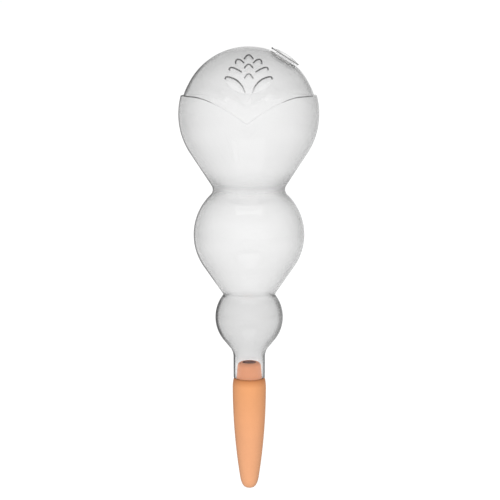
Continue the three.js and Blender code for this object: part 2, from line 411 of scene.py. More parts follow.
def clear_plastic():
    material, shader, place = new_finish("clear_plastic")
    tree = material.node_tree
    full = LOOK_BY_HEIGHT[-1][0]
    across, height = (place.node("ShaderNodeSeparateXYZ", output=k, Vector=place) for k in (0, 2))
    stops = [(z / full, tuple(values)) for z, *values in LOOK_BY_HEIGHT]
    ramp = place.node("ShaderNodeValToRGB", {"stops": stops}, Fac=height * (1 / (full * MM)))
    tone, rim, left = (place.node("ShaderNodeSeparateColor", output=k, Color=ramp) for k in range(3))
    right = Wire(tree, ramp.socket.node.outputs["Alpha"])
    seat = place.node("ShaderNodeAttribute", {"attribute_name": "seat"}, output=2)
    facing = place.node("ShaderNodeLayerWeight", output=1) * (1 - seat)
    crease_shade = place.node("ShaderNodeAttribute", {"attribute_name": "crease_shade"}, output=2)
    clear = tone * (1 - facing * facing * EDGE_TINT)
    feed(place.node("ShaderNodeCombineColor", Red=clear, Green=clear, Blue=clear), shader, "Base Color")
    shader.inputs["Transmission Weight"].default_value = 1.0
    shader.inputs["IOR"].default_value = PLASTIC_IOR
    haze = place.node("ShaderNodeTexNoise", Vector=place, Scale=HAZE_SCALE, Detail=3.0)
    dull_stops = [(z / full, (value, value, value, 1)) for z, value in HAZE_BY_HEIGHT]
    dull = place.node("ShaderNodeValToRGB", {"stops": dull_stops}, Fac=height * (1 / (full * MM)))
    feed(haze * 0.03 + dull, shader, "Roughness")
    flow = place.node("ShaderNodeTexNoise", Vector=place, Scale=FLOW_SCALE, Detail=1.0)
    feed(place.node("ShaderNodeBump", Strength=0.06, Distance=0.001, Height=flow), shader, "Normal")
    outside = place.node("ShaderNodeAttribute", {"attribute_name": "outside"}, output=2)
    side = place.node("ShaderNodeMapRange", Value=across, From_Min=-SIDE_BLEND * MM,
                      From_Max=SIDE_BLEND * MM)
    start = rim - side * RIGHT_SHIFT
    softness = side * (RIM_SOFTNESS / 2) + RIM_SOFTNESS
    trap = place.node("ShaderNodeMapRange", {"interpolation_type": "SMOOTHSTEP"}, Value=facing,
                      From_Min=start - softness, From_Max=start + softness)
    washed = side * place.node("ShaderNodeMapRange", Value=facing, From_Min=WASHED_FROM, From_Max=WASHED_TO,
                               To_Max=WASHED_SHARE)
    outline = trap * (left + side * (right - left)) * (1 - washed) * outside
    # The petals' dark lines are painted shade, mixed in like the outline.
    lines = place.maths("MAXIMUM", outline, crease_shade)
    trapped = place.node("ShaderNodeBsdfDiffuse", Color=TRAPPED_DARK)
    bonded = place.node("ShaderNodeBsdfTransparent")
    glass = Wire(tree, shader.outputs[0])
    output = tree.nodes["Material Output"]
    lined = place.node("ShaderNodeMixShader", Fac=lines, i1=glass, i2=trapped)
    feed(place.node("ShaderNodeMixShader", Fac=seat, i1=lined, i2=bonded), output, "Surface")
    grey = (PLASTIC_GREY, PLASTIC_GREY, PLASTIC_GREY, 1)
    feed(place.node("ShaderNodeVolumeAbsorption", Color=grey, Density=PLASTIC_DENSITY), output, "Volume")
    return material


plastic = clear_plastic()
print("clear plastic nodes:", len(plastic.node_tree.nodes))

# %% [markdown]
# One face of the reservoir, from the top of the dome down to the neck's rim. The step is drawn at the height
# it has at the sides; the next cell pulls it down into the V. Rows are close together where the petal relief
# will be raised, and wide apart elsewhere.

# %% Reservoir outline
EDGE_ROUNDS = 12
FULL_DETAIL, INNER_DETAIL = 1, 0.6
PETAL_ZONE_TOP, PETAL_ZONE_LOW = 72, 32
PETAL_ROWS, PLAIN_ROWS = 90, 18
NECK_STRAIGHT = 4.0


def edge_elevation(azimuth):
    """Angle in degrees above the bulb's equator at which the cup's lip meets the V edge."""
    elevation = 0.0
    for _ in range(EDGE_ROUNDS):
        x = CUP_RADIUS * math.cos(elevation) * math.sin(azimuth)
        elevation = math.asin(edge_height(x) / CUP_RADIUS)
    return math.degrees(elevation)


def waist_centre(upper, cone, lower, fillet):
    """Centre of the round between a bulb's cone and the bulb below, each bulb given as (r, z, radius)."""
    slope = math.radians(cone)
    outward = Vector((math.cos(slope), -math.sin(slope)))
    along = Vector((-math.sin(slope), -math.cos(slope)))
    base = Vector(upper[:2]) + outward * (upper[2] + fillet)
    offset = base - Vector(lower[:2])
    half = offset.dot(along)
    reach = lower[2] + fillet
    return base + along * (-half - math.sqrt(half ** 2 - offset.length_squared + reach ** 2))


def bottle_outline(walls, detail):
    def rows(count):
        return max(3, round(count * detail))

    wall = walls["top"]
    dome, cup = DOME_RADIUS - wall, CUP_RADIUS - wall
    top = (0.0, TOP_Z, cup)
    middle = (0.0, MIDDLE_Z, MIDDLE_RADIUS - walls["middle"])
    small = (SMALL_RADIUS - SMALL_ARC, SMALL_Z, SMALL_ARC - walls["small"])
    neck = NECK_RADIUS - walls["neck"]
    upper_round = UPPER_WAIST_ROUND + walls["middle"]
    lower_round = LOWER_WAIST_ROUND + walls["small"]
    neck_round = NECK_ROUND + walls["neck"]
    upper_waist = waist_centre(top, TOP_CONE, middle, upper_round)
    lower_waist = waist_centre(middle, MIDDLE_CONE, small, lower_round)
    slope = math.radians(SMALL_CONE)
    neck_r = neck + neck_round
    neck_z = SMALL_Z - (small[2] + neck_round - (neck_r - small[0]) * math.cos(slope)) / math.sin(slope)
    edge = edge_elevation(math.pi / 2)
    near_edge, dense = 6.0, 1.2
    petal_rows = PETAL_ROWS if detail == FULL_DETAIL else PLAIN_ROWS
    return (
        arc((0, TOP_Z), dome, 90, PETAL_ZONE_TOP, rows(9))
        + arc((0, TOP_Z), dome, PETAL_ZONE_TOP, PETAL_ZONE_LOW, petal_rows)[1:]
        + arc((0, TOP_Z), dome, PETAL_ZONE_LOW, edge + near_edge, rows(8))[1:]
        + arc((0, TOP_Z), dome, edge + near_edge, edge + dense, rows(9))[1:]
        + arc((0, TOP_Z), dome, edge + dense, edge, 6)[1:-1]
        + arc((0, TOP_Z), cup, edge, edge - dense, 6)
        + arc((0, TOP_Z), cup, edge - dense, edge - near_edge, rows(5))[1:]
        + arc((0, TOP_Z), cup, edge - near_edge, -TOP_CONE, rows(22))[1:]
        + arc(upper_waist, upper_round, 180 - TOP_CONE, bearing(upper_waist, middle) % 360, rows(12))
        + arc(middle, middle[2], bearing(middle, upper_waist), -MIDDLE_CONE, rows(34))[1:]
        + arc(lower_waist, lower_round, 180 - MIDDLE_CONE, bearing(lower_waist, small) % 360, rows(8))
        + arc(small, small[2], bearing(small, lower_waist), -SMALL_CONE, rows(26))[1:]
        + arc((neck_r, neck_z), neck_round, 180 - SMALL_CONE, 180, rows(12))
    ), neck


def add_neck_rim(outline, neck, across):
    """Runs an outline straight down the neck and round the rim's edge, which turns towards the wall."""
    outline.append((neck, NECK_STRAIGHT))
    outline.extend(bend((neck, NECK_RIM_ROUND), (neck, 0.0), (neck + across, 0.0), 4))


outer_outline, outer_neck = bottle_outline(NO_WALLS, FULL_DETAIL)
inner_outline, inner_neck = bottle_outline(WALLS, INNER_DETAIL)
add_neck_rim(outer_outline, outer_neck, -NECK_RIM_ROUND)
add_neck_rim(inner_outline, inner_neck, NECK_RIM_ROUND)
outer_outline[0] = (0.0, TOP_Z + DOME_RADIUS)
inner_outline[0] = (0.0, TOP_Z + DOME_RADIUS - WALLS["top"])
print("outline points:", len(outer_outline), "outside,", len(inner_outline), "inside")

# %% [markdown]
# Two moves shape the spun face. The columns crowd towards the front, where the relief needs them. Then each
# vertex of the top bulb slides up or down its own ball until the drawn step lies on the V curve. The step
# becomes a sharp lip plus a long slope, each by its share, so that its line is crisp at the sides and faint
# at the V's tip. Away from the step the dome and the cup stay round.

# %% Pull the step into its V
CROWDING = 0.7
LIP_START, LIP_WIDTH = 0.6, 1.0
SLOPE_WIDTH, FRONT_SLOPE = 14.0, 0.8
LEDGE_MARGIN, LEDGE_BELOW, LEDGE_POWER = 0.01, 1, 3


def slope_share(azimuth):
    """Share of the step that is a long slope, not a sharp lip: none at the sides, most at the V's tips."""
    ahead = math.cos(azimuth)
    return FRONT_SLOPE * ahead if ahead > 0 else math.sqrt(-ahead)


def crowd_to_front(v):
    azimuth = math.atan2(v.co.x, -v.co.y)
    reach = math.hypot(v.co.x, v.co.y)
    azimuth -= CROWDING * math.sin(azimuth)
    v.co.x = reach * math.sin(azimuth)
    v.co.y = -reach * math.cos(azimuth)


def slide_to_v(v, wall):
    local = v.co / MM - Vector((0, 0, TOP_Z))
    elevation = math.degrees(math.asin(max(-1.0, min(1.0, local.z / local.length))))
    if elevation < -TOP_CONE or local.z < -CUP_RADIUS:
        return
    azimuth = math.atan2(local.x, -local.y)
    drawn, edge = edge_elevation(math.pi / 2), edge_elevation(azimuth)
    span = 90 - drawn if elevation > drawn else drawn + TOP_CONE
    elevation += (edge - drawn) * (1 - abs(elevation - drawn) / span)
    lip = max(0.0, min(1.0, LIP_START + (edge - elevation) / LIP_WIDTH))
    slope = max(0.0, min(1.0, 1 + (edge - elevation) / SLOPE_WIDTH))
    share = slope_share(azimuth)
    rise = share * slope * slope * (3 - 2 * slope) + (1 - share) * lip * lip
    radius = DOME_RADIUS + (CUP_RADIUS - DOME_RADIUS) * rise - wall
    flat = radius * math.cos(math.radians(elevation))
    v.co.x = flat * math.sin(azimuth) * MM
    v.co.y = -flat * math.cos(azimuth) * MM
    v.co.z = (radius * math.sin(math.radians(elevation)) + TOP_Z) * MM


def outline_share(v):
    """How much of the dark outline a vertex may show: all of it, but less on the ledge near the V's tip."""
    local = v.co / MM - Vector((0, 0, TOP_Z))
    on_step = DOME_RADIUS + LEDGE_MARGIN < local.length < CUP_RADIUS - LEDGE_MARGIN
    if on_step and local.z > V_RISE - V_DROP - LEDGE_BELOW and local.y < 0:
        return min(1.0, abs(local.x + V_OFFSET) / V_REACH) ** LEDGE_POWER
    return 1.0


print("slope's share of the step in front, at the side and behind:",
      [round(slope_share(math.radians(turned)), 2) for turned in (0, 90, 180)])

# %% [markdown]
# The front of the dome carries a rosette of overlapping petal scales, an old and common ornament. Each scale
# is a small step: sharp along its upper edge and fading out below. We give the upper edges as a few points
# on the dome, seen from the front, and cut their corners until they run smoothly.

# %% Petal edges
CORNER_CUTS = 3
SCALES = {
    "centre_top": (1.0, [(-2.7, 35.75), (-0.9, 38.0), (0.9, 38.0), (2.7, 35.75)]),
    "centre_middle": (1.0, [(-2.45, 30.35), (-0.9, 32.35), (0.9, 32.35), (2.45, 30.35)]),
    "centre_low": (0.75, [(-2.5, 24.35), (-0.9, 26.65), (0.9, 26.65), (2.5, 24.35)]),
    "side_top": (1.0, [(-8.1, 32.9), (-7.8, 34.8), (-6.4, 35.5), (-4.6, 34.8), (-3.05, 33.35)]),
    "side_middle": (1.0, [(-11.9, 29.0), (-11.8, 30.1), (-10.4, 30.65), (-7.5, 29.6), (-4.5, 27.9)]),
    "petal": (1.0, [(-14.3, 23.7), (-14.1, 24.7), (-12.6, 24.95), (-8.3, 23.7), (-5.2, 21.1), (-3.2, 18.4),
                    (-2.3, 15.6)]),
    "petal_foot": (0.0, [(-2.3, 14.6), (-7.2, 15.9), (-11.8, 18.5), (-14.0, 21.1)]),
}


def smooth_chain(points, cuts):
    """A softer chain of points: cuts corners the given number of times."""
    for _ in range(cuts):
        softer = [points[0]]
        for (ax, az), (bx, bz) in zip(points, points[1:]):
            softer.append((0.75 * ax + 0.25 * bx, 0.75 * az + 0.25 * bz))
            softer.append((0.25 * ax + 0.75 * bx, 0.25 * az + 0.75 * bz))
        points = softer + [points[-1]]
    return points


def scale_chains():
    """Every scale's upper edge with the darkness of its painted shade line; the side scales come as mirrored
    pairs.
    """
    chains = []
    for name, (darkness, points) in SCALES.items():
        chains.append((darkness, smooth_chain(points, CORNER_CUTS)))
        if not name.startswith("centre"):
            mirrored = [(-x, z) for x, z in reversed(points)]
            chains.append((darkness, smooth_chain(mirrored, CORNER_CUTS)))
    return chains


print("petal edges:", len(scale_chains()))

# %% [markdown]
# A sculptor would carve the scales one by one. Here each vertex of the dome's front asks every edge how far
# away it is. It rises quickly across the edge, sinks back slowly inside it, and takes the highest answer.

# %% Petal relief
RELIEF_HEIGHT = 0.4
RELIEF_RISE = 0.45
RELIEF_FADE = 1.5
RELIEF_REACH = 4 * RELIEF_FADE
TOO_LOW = 0.001
PETALS_FRONT, PETALS_HALF_WIDTH = -10, 20
PETALS_LOW, PETALS_HIGH = 8, 41


def distance_to_chain(x, z, chain):
    """Distance to a chain of points, positive on its right-hand side."""
    best, side = 1e9, 1.0
    for (ax, az), (bx, bz) in zip(chain, chain[1:]):
        dx, dz = bx - ax, bz - az
        t = max(0.0, min(1.0, ((x - ax) * dx + (z - az) * dz) / (dx * dx + dz * dz)))
        gap = math.hypot(x - ax - t * dx, z - az - t * dz)
        if gap < best:
            best = gap
            side = 1.0 if dx * (z - az) - dz * (x - ax) < 0 else -1.0
    return best * side


def near(x, z, chain):
    """True if a point is close enough to a chain to be raised by it."""
    xs, zs = [p[0] for p in chain], [p[1] for p in chain]
    beside = min(xs) - RELIEF_REACH < x < max(xs) + RELIEF_REACH
    return beside and min(zs) - RELIEF_REACH < z < max(zs) + RELIEF_RISE


def relief(x, z, chains):
    """Height of the rosette at a point of the dome's front."""
    height = 0.0
    for _, chain in chains:
        if not near(x, z, chain):
            continue
        inside = distance_to_chain(x, z, chain)
        if inside <= -RELIEF_RISE or inside > RELIEF_REACH:
            continue
        rise = min(1.0, (inside + RELIEF_RISE) / RELIEF_RISE)
        rise = rise * rise * (3 - 2 * rise)
        height = max(height, RELIEF_HEIGHT * rise * math.exp(-max(inside, 0.0) / RELIEF_FADE))
    return height


def on_petals(local):
    """True for a point on the dome's front, where the rosette is."""
    in_front = local.y < PETALS_FRONT and abs(local.x) < PETALS_HALF_WIDTH
    return in_front and PETALS_LOW < local.z < PETALS_HIGH


def raise_petals(verts):
    chains = scale_chains()
    raised = 0
    for v in verts:
        local = v.co / MM - Vector((0, 0, TOP_Z))
        if not on_petals(local):
            continue
        height = relief(local.x, local.z, chains)
        if height > TOO_LOW:
            v.co = (local + local.normalized() * height) * MM + Vector((0, 0, TOP_Z * MM))
            raised += 1
    print("vertices raised for the petals:", raised)


# %% [markdown]
# The filler sits on the dome's shoulder, tilted towards the right. Its hole is a stepped plug, a narrow part
# for the sleeve and a wide one for the flat seat, and a Boolean takes it out of the dome. The plug is a
# turned shape like the others, so we spin it about Z and tilt it out to its place.

# %% Filler hole
FILLER_TILT = 32.5
FILLER_AXIS = Vector((math.sin(math.radians(FILLER_TILT)), 0, math.cos(math.radians(FILLER_TILT))))
SEAT = 41.7
HOLE_RADIUS = 8.5
PLUG_LOW, PLUG_HIGH, PLUG_RADIUS = 30.0, 50.0, 16.0
FINE_STEPS = 96


def filler_place():
    """Turns a piece made about Z out to the filler's place on the dome."""
    return Matrix.Translation((0, 0, TOP_Z * MM)) @ Matrix.Rotation(math.radians(FILLER_TILT), 4, "Y")


def filler_hole():
    bm = bmesh.new()
    turn(bm, [
        (0.0, PLUG_LOW),
        (HOLE_RADIUS, PLUG_LOW),
        (HOLE_RADIUS, SEAT),
        (PLUG_RADIUS, SEAT),
        (PLUG_RADIUS, PLUG_HIGH),
        (0.0, PLUG_HIGH),
    ], FINE_STEPS)
    bmesh.ops.recalc_face_normals(bm, faces=bm.faces)
    bmesh.ops.transform(bm, matrix=filler_place(), verts=bm.verts)
    mesh = bpy.data.meshes.new("filler_hole")
    bm.to_mesh(mesh)
    bm.free()
    cutter = bpy.data.objects.new("filler_hole", mesh)
    bpy.context.scene.collection.objects.link(cutter)
    return cutter


print("filler axis:", [round(value, 4) for value in FILLER_AXIS])

# %% [markdown]
# Now the reservoir itself: spin both faces, shape them, and close the wall by bridging the two rings at the
# neck's rim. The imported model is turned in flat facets, so it is a hair less deep than wide. A scale in Y
# brings this smooth one inside the same box. The Boolean for the filler is applied at once, so the piece is
# one closed shell.

# %% Reservoir
COLUMNS = 224
DEPTH_SHARE = 0.9965


def reservoir_shell():
    bm = bmesh.new()
    mark = bm.verts.layers.float.new("outside")
    outside = turn(bm, outer_outline, COLUMNS)
    inside = turn(bm, inner_outline, COLUMNS)
    bmesh.ops.reverse_faces(bm, faces=list({f for v in inside for f in v.link_faces}))
    for v in bm.verts:
        crowd_to_front(v)
    for v in outside:
        slide_to_v(v, 0.0)
        v[mark] = outline_share(v)
    for v in inside:
        slide_to_v(v, WALLS["top"])
    raise_petals(outside)
    bmesh.ops.scale(bm, verts=bm.verts, vec=(1, DEPTH_SHARE, 1))
    rims = [e for e in bm.edges if e.is_boundary]
    bmesh.ops.bridge_loops(bm, edges=rims)
    bmesh.ops.recalc_face_normals(bm, faces=bm.faces)
    return bm


def cut_with(piece, cutter):
    """Takes the cutter's shape out of a piece and keeps the result as its mesh."""
    cut = piece.modifiers.new("cut", "BOOLEAN")
    cut.object = cutter
    cut.operation = "DIFFERENCE"
    cut.solver = "MANIFOLD"
    shaped = bpy.data.meshes.new_from_object(piece.evaluated_get(bpy.context.evaluated_depsgraph_get()))
    piece.modifiers.clear()
    piece.data = shaped
    bpy.data.objects.remove(cutter)


shell = stand_for("reservoir_shell", reservoir_shell(), "globe", "reservoir", plastic)
cut_with(shell, filler_hole())
print("reservoir faces with its filler hole:", len(shell.data.polygons))

# %% [markdown]
# The shader can't know where the petals' edges or the filler's seat are, so the finished mesh tells it. Each
# vertex gets a number in a named attribute. Both are written after the Boolean, which makes a new mesh.

# %% Marks for the shader
SEAT_INNER, SEAT_OUTER, SEAT_ABOVE, SEAT_BELOW = 0.1, 2.1, 0.05, 3
# Painted shade along the petals' upper edges: its width, darkness and fade with height.
CREASE_WIDTH = 0.44
CREASE_SHADE_DARKNESS = 0.97
CREASE_FADE_LOW, CREASE_FADE_SPAN = 13, 9
SKIN_MARGIN = 0.2


def mark_seat(mesh):
    """Marks the cut faces round the filler. Clear adhesive fills the joint there, so they don't show."""
    seat = mesh.attributes.new("seat", "FLOAT", "POINT")
    for v in mesh.vertices:
        local = v.co / MM - Vector((0, 0, TOP_Z))
        along = local.dot(FILLER_AXIS)
        off_axis = (local - FILLER_AXIS * along).length
        on_ring = HOLE_RADIUS - SEAT_INNER < off_axis < HOLE_RADIUS + SEAT_OUTER
        if on_ring and SEAT - SEAT_BELOW < along < SEAT + SEAT_ABOVE:
            seat.data[v.index].value = 1.0


def paint_crease_shade(mesh):
    """Stores painted shade: dark lines along the petals' upper edges."""
    chains = scale_chains()
    crease_shade = mesh.attributes.new("crease_shade", "FLOAT", "POINT")
    for v in mesh.vertices:
        local = v.co / MM - Vector((0, 0, TOP_Z))
        if local.length < DOME_RADIUS - SKIN_MARGIN or not on_petals(local):
            continue
        fade = max(0.0, min(1.0, (local.z - CREASE_FADE_LOW) / CREASE_FADE_SPAN))
        for darkness, chain in chains:
            if near(local.x, local.z, chain):
                gap = abs(distance_to_chain(local.x, local.z, chain)) / CREASE_WIDTH
                value = CREASE_SHADE_DARKNESS * darkness * fade * math.exp(-gap ** 4)
                crease_shade.data[v.index].value = max(crease_shade.data[v.index].value, value)


mark_seat(shell.data)
paint_crease_shade(shell.data)
shell.data.set_sharp_from_angle(angle=SMOOTH_ANGLE)
print("reservoir attributes:", [attribute.name for attribute in shell.data.attributes])

# %% [markdown]
# The cap and its collar are injection moulded from a softer clear plastic, paler than the reservoir.
# Handling has dulled it a little, and fine noise in the roughness stands for those marks. Light that enters
# a thin disc leaves it through the rim, so a clear cap shows its edge as a dark line, and its crown darkens
# where it is seen at a grazing angle. The shader finds the flange by its distance along the filler's axis.
# Below it, the collar and the skirt are mostly plain see-through. Full refraction would be truer, but many
# thin walls lie behind each other there, and on the real object they hardly show.

# %% Cap plastic
CAP_UNDER, CAP_TOP = 42.9, 43.8
CAP_MIDDLE = (CAP_UNDER + CAP_TOP) / 2
CAP_IOR = 1.18
WEAR_SCALE = 500.0
LINE_FOOT, LINE_LOW, LINE_HIGH, LINE_TOP = -0.35, -0.15, 0.1, 0.3
GRAZING_FROM, GRAZING_TO = 0.8, 0.97
EDGE_LINE, CROWN_LINE = 0.75, 0.5
THIN_BELOW, THIN_ABOVE, THIN_SHARE = -0.6, -0.5, 0.9
THIN_TINT = (0.96, 0.96, 0.96, 1)


def cap_plastic():
    material, shader, place = new_finish("cap_plastic")
    tree = material.node_tree
    wear = place.node("ShaderNodeTexNoise", Vector=place, Scale=WEAR_SCALE, Detail=3.0)
    colour = place.node("ShaderNodeValToRGB", {"stops": [
        (0.3, (0.95, 0.95, 0.95, 1)),
        (0.7, (0.98, 0.98, 0.98, 1)),
    ]}, Fac=wear)
    feed(colour, shader, "Base Color")
    feed(wear * 0.02, shader, "Roughness")
    shader.inputs["Transmission Weight"].default_value = 1.0
    shader.inputs["IOR"].default_value = CAP_IOR
    feed(place.node("ShaderNodeBump", Strength=0.02, Distance=0.0001, Height=wear), shader, "Normal")
    along = place.node("ShaderNodeVectorMath", {"operation": "DOT_PRODUCT"}, output=1, Vector=place,
                       i1=FILLER_AXIS)
    level = along - (TOP_Z * FILLER_AXIS.z + CAP_MIDDLE) * MM
    from_foot = place.node("ShaderNodeMapRange", Value=level, From_Min=LINE_FOOT * MM,
                           From_Max=LINE_LOW * MM)
    from_top = place.node("ShaderNodeMapRange", Value=level, From_Min=LINE_TOP * MM,
                          From_Max=LINE_HIGH * MM)
    grazing = place.node("ShaderNodeMapRange", Value=place.node("ShaderNodeLayerWeight", output=1),
                         From_Min=GRAZING_FROM, From_Max=GRAZING_TO, To_Max=CROWN_LINE)
    lines = place.maths("MAXIMUM", from_foot * from_top * EDGE_LINE, from_foot * grazing)
    trapped = place.node("ShaderNodeBsdfDiffuse", Color=TRAPPED_DARK)
    thin = place.node("ShaderNodeMapRange", Value=level, From_Min=THIN_BELOW * MM, From_Max=THIN_ABOVE * MM,
                      To_Min=THIN_SHARE, To_Max=0.0)
    see_through = place.node("ShaderNodeBsdfTransparent", Color=THIN_TINT)
    glass = place.node("ShaderNodeMixShader", Fac=thin, i1=Wire(tree, shader.outputs[0]), i2=see_through)
    edged = place.node("ShaderNodeMixShader", Fac=lines, i1=glass, i2=trapped)
    feed(edged, tree.nodes["Material Output"], "Surface")
    return material


dull_plastic = cap_plastic()
print("cap plastic nodes:", len(dull_plastic.node_tree.nodes))

# %% [markdown]
# The collar is a moulded ring: a thin flange on the dome's flat seat and a sleeve that reaches inside. It is
# a turned part with small rounded edges, so we spin its section and bevel the sharp rings.

# %% Filler collar
FLANGE_RADIUS = 9.9
SLEEVE_RADIUS, SLEEVE_BORE, SLEEVE_END = 8.2, 7.3, 38.0
LEAD_IN = 0.5
COLLAR_UNDER, COLLAR_TOP = 41.95, 42.65
EDGE_ROUND, SHARP_ANGLE = 0.15, math.radians(50)


def round_rings(bm):
    """Bevels the sharp edges of a turned part."""
    bmesh.ops.recalc_face_normals(bm, faces=bm.faces)
    sharp = [e for e in bm.edges if len(e.link_faces) == 2 and e.calc_face_angle() > SHARP_ANGLE]
    bmesh.ops.bevel(
        bm, geom=sharp, offset=EDGE_ROUND * MM, offset_type="OFFSET", segments=2, profile=0.5,
        affect="EDGES", material=-1,
    )


def collar_ring():
    bm = bmesh.new()
    turn(bm, [
        (SLEEVE_BORE, SLEEVE_END),
        (SLEEVE_RADIUS, SLEEVE_END),
        (SLEEVE_RADIUS, COLLAR_UNDER),
        (FLANGE_RADIUS, COLLAR_UNDER),
        (FLANGE_RADIUS, COLLAR_TOP),
        (SLEEVE_BORE + LEAD_IN, COLLAR_TOP),
        (SLEEVE_BORE, COLLAR_TOP - LEAD_IN),
        (SLEEVE_BORE, SLEEVE_END),
    ], FINE_STEPS)
    round_rings(bm)
    bmesh.ops.transform(bm, matrix=filler_place(), verts=bm.verts)
    return bm


stand_for("filler_collar_ring", collar_ring(), "globe", "filler_collar", dull_plastic)

# %% [markdown]
# The cap is pushed in by hand and pulled out by a small lip. Under its low domed top hangs a hollow skirt
# with a groove for the seal. The lip is not a separate block: the flange's rim bulges out on one side.

# %% Filler cap
CAP_DOME_RADIUS, CAP_CROWN = 8.5, 44.95
CROWN_CORNER = 0.7 * CAP_DOME_RADIUS
RIM_MARGIN = 0.3
SKIRT_RADIUS, SKIRT_BORE, SKIRT_END = 6.9, 4.7, 38.6
SEAL_HEIGHT, GROOVE_RADIUS, GROOVE_HALF = 40.5, 5.7, 0.8
LIP_HALF_ANGLE, LIP_REACH = 18.0, 0.5


def bulge_lip(v):
    """Pushes the flange's rim out into the finger lip, on the side of the dome's top."""
    reach = math.hypot(v.co.x, v.co.y)
    if reach < (FLANGE_RADIUS - RIM_MARGIN) * MM:
        return
    off = abs(math.degrees(math.atan2(v.co.y, -v.co.x))) / LIP_HALF_ANGLE
    if off < 1:
        ease = (1 - off ** 4) ** 2
        scale = 1 + LIP_REACH * ease * MM / reach
        v.co.x *= scale
        v.co.y *= scale


def cap_plug():
    bm = bmesh.new()
    crown = bend((CAP_DOME_RADIUS, CAP_TOP), (CROWN_CORNER, CAP_CROWN), (0.0, CAP_CROWN), 10)
    turn(bm, [
        (0.0, CAP_UNDER),
        (SKIRT_BORE, CAP_UNDER),
        (SKIRT_BORE, SKIRT_END),
        (SKIRT_RADIUS, SKIRT_END),
        (SKIRT_RADIUS, SEAL_HEIGHT - GROOVE_HALF),
        (GROOVE_RADIUS, SEAL_HEIGHT - GROOVE_HALF),
        (GROOVE_RADIUS, SEAL_HEIGHT + GROOVE_HALF),
        (SKIRT_RADIUS, SEAL_HEIGHT + GROOVE_HALF),
        (SKIRT_RADIUS, CAP_UNDER),
        (FLANGE_RADIUS, CAP_UNDER),
        (FLANGE_RADIUS, CAP_TOP),
    ] + crown, FINE_STEPS)
    round_rings(bm)
    for v in bm.verts:
        bulge_lip(v)
    bmesh.ops.transform(bm, matrix=filler_place(), verts=bm.verts)
    return bm


stand_for("filler_cap_plug", cap_plug(), "cap", "filler_cap", dull_plastic)

# %% [markdown]
# The seal is a plain ring of round section that lies in the skirt's groove. A circle spun round the cap's
# axis gives it directly.

# %% Seal ring
SEAL_RADIUS, SEAL_SECTION = 6.5, 0.55


def seal_ring():
    bm = bmesh.new()
    section = arc((SEAL_RADIUS, SEAL_HEIGHT), SEAL_SECTION, 0, 360, 16)
    section[-1] = section[0]
    turn(bm, section, FINE_STEPS)
    bmesh.ops.recalc_face_normals(bm, faces=bm.faces)
    bmesh.ops.transform(bm, matrix=filler_place(), verts=bm.verts)
    return bm


stand_for("cap_seal_ring", seal_ring(), "cap", "cap_seal", silicone)

# %% [markdown]
# The spike is a slender ceramic body with softly rounded edges: blunt tip, long bowed side, rounded
# shoulder, and above it the tapered spigot with the hole that lets water in. One outline runs round all of
# it and down the bore.

# %% Terracotta spike
SPIKE_RADIUS, SPIKE_SIDE_ARC, SPIKE_WIDEST_Z = 10.95, 398.0, -6.4
TIP_Z, TIP_FLAT, TIP_ROUND = -75.0, 2.2, 8.0
TIP_CORNER_IN, TIP_CORNER_UP = 1, 0.8
SHOULDER_FLAT, SHOULDER_DEPTH = 9.4, 5.0
SHOULDER_FOOT_IN, SHOULDER_CORNER_IN = 0.05, 0.45
SPIGOT_BASE, SPIGOT_TOP, SPIGOT_HEIGHT, SPIGOT_ROUND = 8.25, 7.7, 10.2, 2.6
BORE_TOP, BORE_END, BORE_DEPTH = 4.4, 3.4, 62.0
BORE_EDGE_ROUND, BORE_POINT_HEIGHT, BORE_POINT_SHARE = 0.3, 2, 0.6


def spike_body():
    centre = (SPIKE_RADIUS - SPIKE_SIDE_ARC, SPIKE_WIDEST_Z)
    low = math.degrees(math.asin((TIP_Z + TIP_ROUND - SPIKE_WIDEST_Z) / SPIKE_SIDE_ARC))
    side = arc(centre, SPIKE_SIDE_ARC, low, 0, 30)
    tip_corner = (side[0][0] - TIP_CORNER_IN, TIP_Z + TIP_CORNER_UP)
    tip = bend((TIP_FLAT, TIP_Z), tip_corner, side[0], 14)
    shoulder_foot = (SPIKE_RADIUS - SHOULDER_FOOT_IN, -SHOULDER_DEPTH)
    shoulder = bend(shoulder_foot, (SPIKE_RADIUS - SHOULDER_CORNER_IN, 0.0), (SHOULDER_FLAT, 0.0), 10)
    round_z = SPIGOT_HEIGHT - SPIGOT_ROUND
    spigot = [(SPIGOT_BASE, 0.0), (SPIGOT_TOP, round_z)]
    spigot += arc((SPIGOT_TOP - SPIGOT_ROUND, round_z), SPIGOT_ROUND, 15, 90, 6)
    mouth_start = (BORE_TOP + BORE_EDGE_ROUND, SPIGOT_HEIGHT)
    mouth = bend(mouth_start, (BORE_TOP, SPIGOT_HEIGHT), (BORE_TOP, SPIGOT_HEIGHT - BORE_EDGE_ROUND), 3)
    bore = [
        (BORE_END, BORE_POINT_HEIGHT - BORE_DEPTH),
        (BORE_END * BORE_POINT_SHARE, -BORE_DEPTH),
        (0.0, -BORE_DEPTH),
    ]
    bm = bmesh.new()
    turn(bm, [(0.0, TIP_Z)] + tip + side[1:] + shoulder + spigot + mouth + bore, FINE_STEPS)
    bmesh.ops.recalc_face_normals(bm, faces=bm.faces)
    return bm


stand_for("spike_body", spike_body(), "spike", "terracotta_spike", clay)

# %% [markdown]
# The stage. A paper sweep under the spike's tip could be lit by lamps, but a lamp leaves a bright patch on
# paper, and clear bulbs show it. So this floor hardly reflects and glows evenly instead. Far out to the left
# and the right it glows less, which gives the bulbs something grey to bend into their edges.

# %% Floor
FLOOR_GLOW, SIDE_SHARE = 1.08, 0.67
FLOOR_HALF_SIZE, FLOOR_GAP = 6.0, 0.2
FLOOR_TONE, FLOOR_ROUGHNESS = (0.01, 0.01, 0.01, 1), 0.9
EVEN_SQUARED, DIM_SQUARED = 0.25, 1.4
NOT_ZERO = 0.0001


